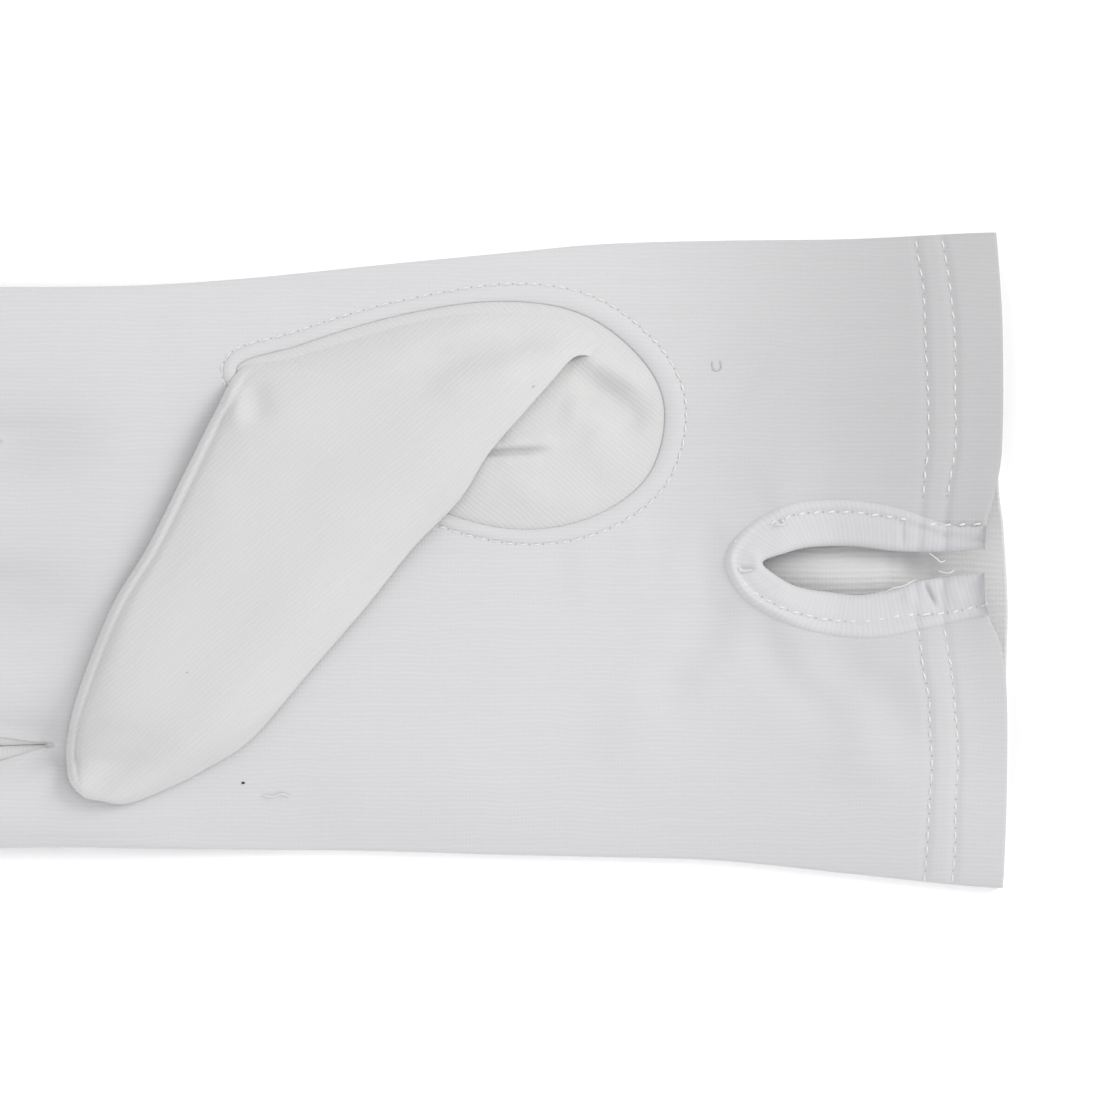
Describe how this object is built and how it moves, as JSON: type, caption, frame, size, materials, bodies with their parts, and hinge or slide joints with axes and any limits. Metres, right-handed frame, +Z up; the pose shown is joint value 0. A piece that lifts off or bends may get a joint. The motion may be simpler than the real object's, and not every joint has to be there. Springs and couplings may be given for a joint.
{
  "type": "parade glove",
  "caption": "White cotton parade glove for the right hand, lying palm up with its thumb folded over the palm and a bound vent at the wrist.",
  "frame": {"origin": "on the surface that the glove lies on, under the middle of its outline", "axes": "+Z up out of the palm, +X from the fingertips to the cuff, +Y towards the index finger"},
  "size_m": [0.2516, 0.1097, 0.0189],
  "materials": {
    "palm_cotton": "fine white cotton knit, matte",
    "back_cotton": "fine white cotton knit, matte",
    "thumb_cotton": "fine white cotton knit with slanting wales, matte",
    "ribbed_binding": "white ribbed cotton strip, matte",
    "side_strip_cotton": "fine white cotton knit, matte"
  },
  "bodies": {
    "root": {"palm_panel": "palm_cotton", "back_panel": "back_cotton", "thumb": "thumb_cotton", "vent_binding": "ribbed_binding", "fourchette_index_middle": "side_strip_cotton", "fourchette_middle_ring": "side_strip_cotton", "fourchette_ring_little": "side_strip_cotton"}
  },
  "joints": []
}
